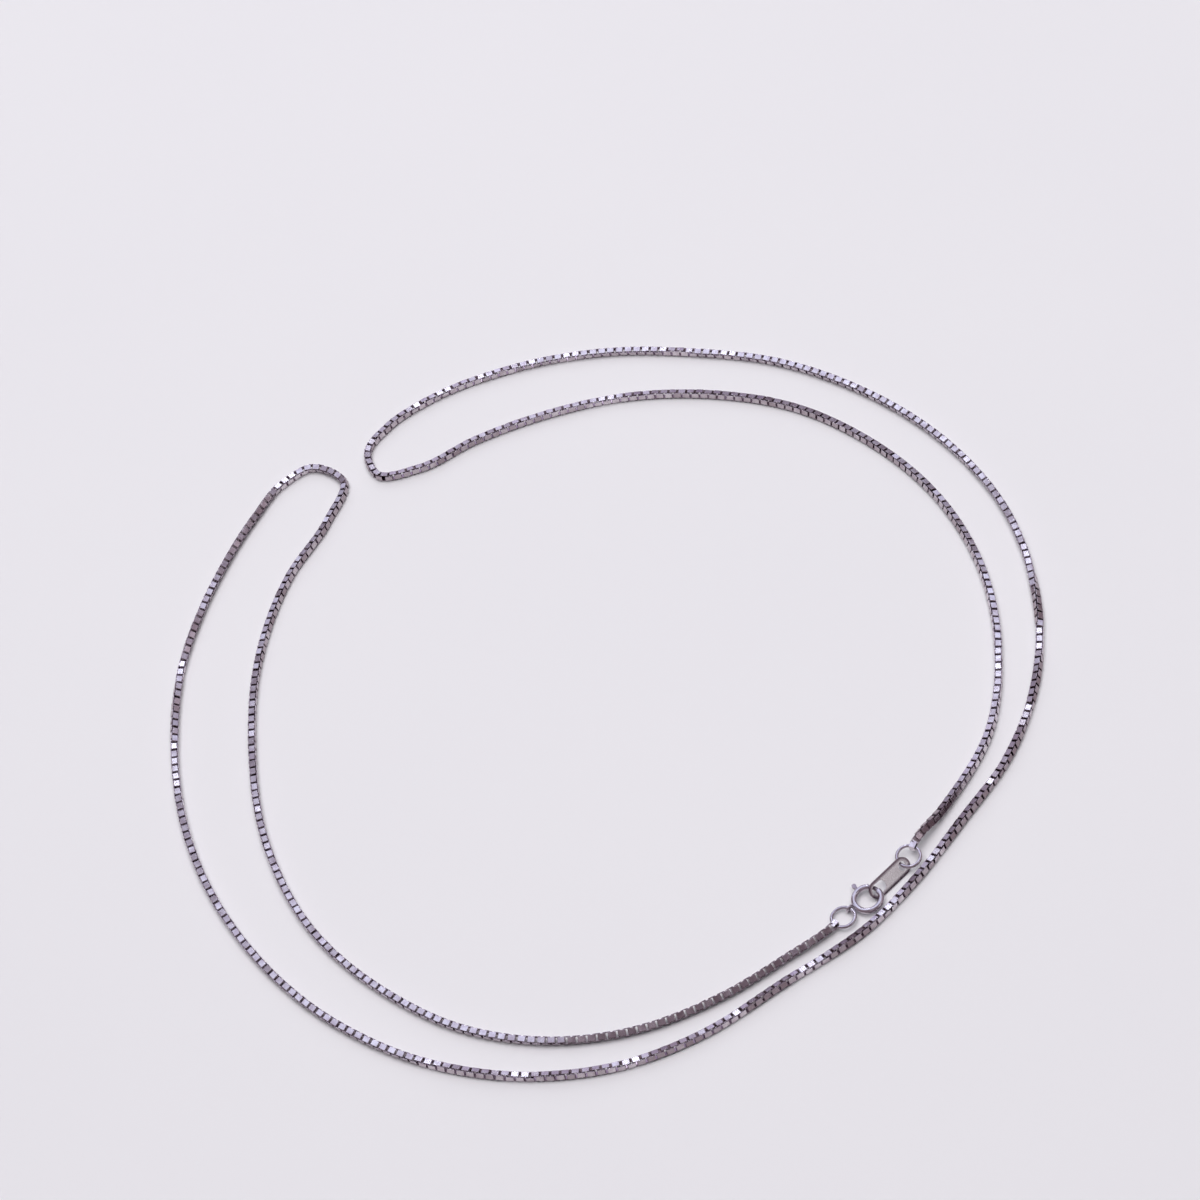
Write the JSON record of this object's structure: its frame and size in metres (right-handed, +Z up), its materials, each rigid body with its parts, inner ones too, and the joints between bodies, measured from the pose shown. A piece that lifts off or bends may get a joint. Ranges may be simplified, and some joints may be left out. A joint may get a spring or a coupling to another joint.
{
  "type": "box chain necklace",
  "caption": "Fine silver box chain necklace in one closed loop, lying doubled in an open C, fastened by a spring ring clasp through a flat end tag.",
  "frame": {"origin": "on the surface that the chain lies on, under the middle of the whole loop", "axes": "+Z up from the surface; +Y from the clasp's side towards the open ends of the C; +X to the right as the picture shows it"},
  "size_m": [0.1296, 0.1312, 0.0022],
  "materials": {
    "chain_silver": "fine silver links, bright on the corners and a little darkened between them",
    "polished_silver": "smooth polished silver with a faint tarnish"
  },
  "bodies": {
    "root": {"chain_right": "chain_silver", "chain_left": "chain_silver", "end_link_right": "chain_silver", "end_link_left": "chain_silver", "jump_ring_right": "polished_silver", "jump_ring_left": "polished_silver", "end_tag": "polished_silver", "clasp_ring": "polished_silver"},
    "bolt": {"clasp_bolt": "polished_silver"}
  },
  "joints": [
    {"name": "bolt_pull", "type": "hinge", "parent": "root", "child": "bolt", "pos_m": [0.0287, -0.0477, 0.0009], "axis": [-0.0623, -0.0505, 0.9968], "range_deg": [0, 52], "stiffness_Nm_per_rad": 0.0015, "springref_deg": -17.19}
  ]
}
